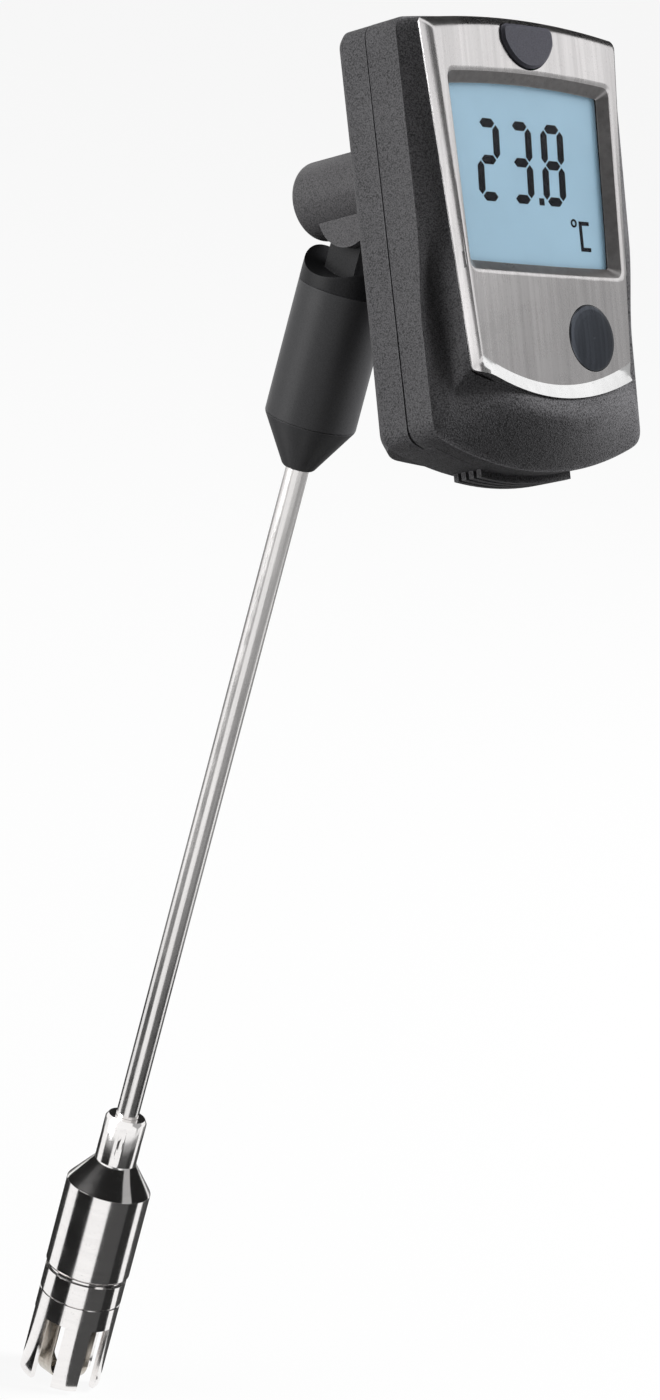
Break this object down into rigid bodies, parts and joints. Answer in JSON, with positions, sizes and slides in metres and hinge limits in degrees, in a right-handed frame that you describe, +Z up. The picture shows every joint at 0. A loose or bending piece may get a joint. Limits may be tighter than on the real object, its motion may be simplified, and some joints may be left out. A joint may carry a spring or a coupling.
{
  "type": "probe thermometer",
  "caption": "Hand-held surface probe thermometer: slotted sensor head with a crossed band, thin steel stem, short round handle and a tilting digital display head.",
  "frame": {"origin": "centre of the contact plane, which is the plane through the tips of the crown's prongs and the flat of the sensor band", "axes": "+Z up along the probe from the tip to the handle, +X to the right as one faces the display (along the hinge pin), -Y the side that the display faces"},
  "size_m": [0.0418, 0.0544, 0.2026],
  "materials": {
    "polished_steel": "polished steel",
    "stem_steel": "drawn steel tube",
    "ceramic": "unglazed ceramic",
    "strip_alloy": "rolled alloy strip",
    "weld": "spot weld",
    "wire_sheath": "wire insulation",
    "handle_plastic": "satin black plastic",
    "knuckle_plastic": "satin black plastic",
    "pin_steel": "plated steel",
    "washer": "bearing plastic",
    "nut_brass": "turned brass",
    "case_plastic": "fine textured black plastic",
    "plate_steel": "fine blasted steel with bright edges",
    "inlay": "plain dark metallic",
    "button_plastic": "dark satin plastic",
    "clear_lens": "clear plastic",
    "display_backing": "pale blue grey display",
    "display_ink": "dark display marks",
    "strip_rubber": "contact rubber",
    "board": "green lacquer",
    "chip": "moulded black",
    "crystal_can": "drawn metal can",
    "contact_metal": "plated spring metal",
    "tray_plastic": "moulded plastic",
    "cell_wrap": "plain printed sleeve"
  },
  "bodies": {
    "probe": {"crown_sleeve": "polished_steel", "sensor_body": "polished_steel", "ceramic_core": "ceramic", "probe_stem": "stem_steel", "thermocouple_leads": "wire_sheath", "handle_cone": "handle_plastic", "handle_sleeve": "handle_plastic", "knuckle": "knuckle_plastic"},
    "sensor_band": {"sensor_strips": "strip_alloy", "junction_bead": "weld"},
    "display_head": {"hinge_pin": "pin_steel", "friction_washers": "washer", "tilt_arm": "knuckle_plastic", "arm_nut": "nut_brass", "rear_shell": "case_plastic", "front_shell": "case_plastic", "faceplate": "plate_steel", "round_inlay": "inlay", "window_lens": "clear_lens", "display_glass": "display_backing", "display_segments": "display_ink", "contact_strips": "strip_rubber", "circuit_board": "board", "controller_chip": "chip", "clock_crystal": "crystal_can", "dome_switch": "contact_metal", "lead_terminals": "contact_metal", "battery_tray": "tray_plastic", "battery_cells": "cell_wrap", "battery_contacts": "contact_metal", "case_screws": "pin_steel"},
    "mode_button": {"mode_button": "button_plastic"},
    "battery_cover": {"battery_cover": "case_plastic"}
  },
  "joints": [
    {"name": "head_tilt", "type": "hinge", "parent": "probe", "child": "display_head", "pos_m": [0, 0, 0.1717], "axis": [1, 0, 0], "range_deg": [0, 33]},
    {"name": "band_press", "type": "slide", "parent": "probe", "child": "sensor_band", "axis": [0, 0, 1], "range_m": [0, 0.001], "stiffness_N_per_m": 500},
    {"name": "button_press", "type": "slide", "parent": "display_head", "child": "mode_button", "axis": [0, 0.8829, -0.4695], "range_m": [0, 0.0005], "stiffness_N_per_m": 900},
    {"name": "cover_slide", "type": "slide", "parent": "display_head", "child": "battery_cover", "axis": [0, -0.4695, -0.8829], "range_m": [0, 0.046]}
  ]
}
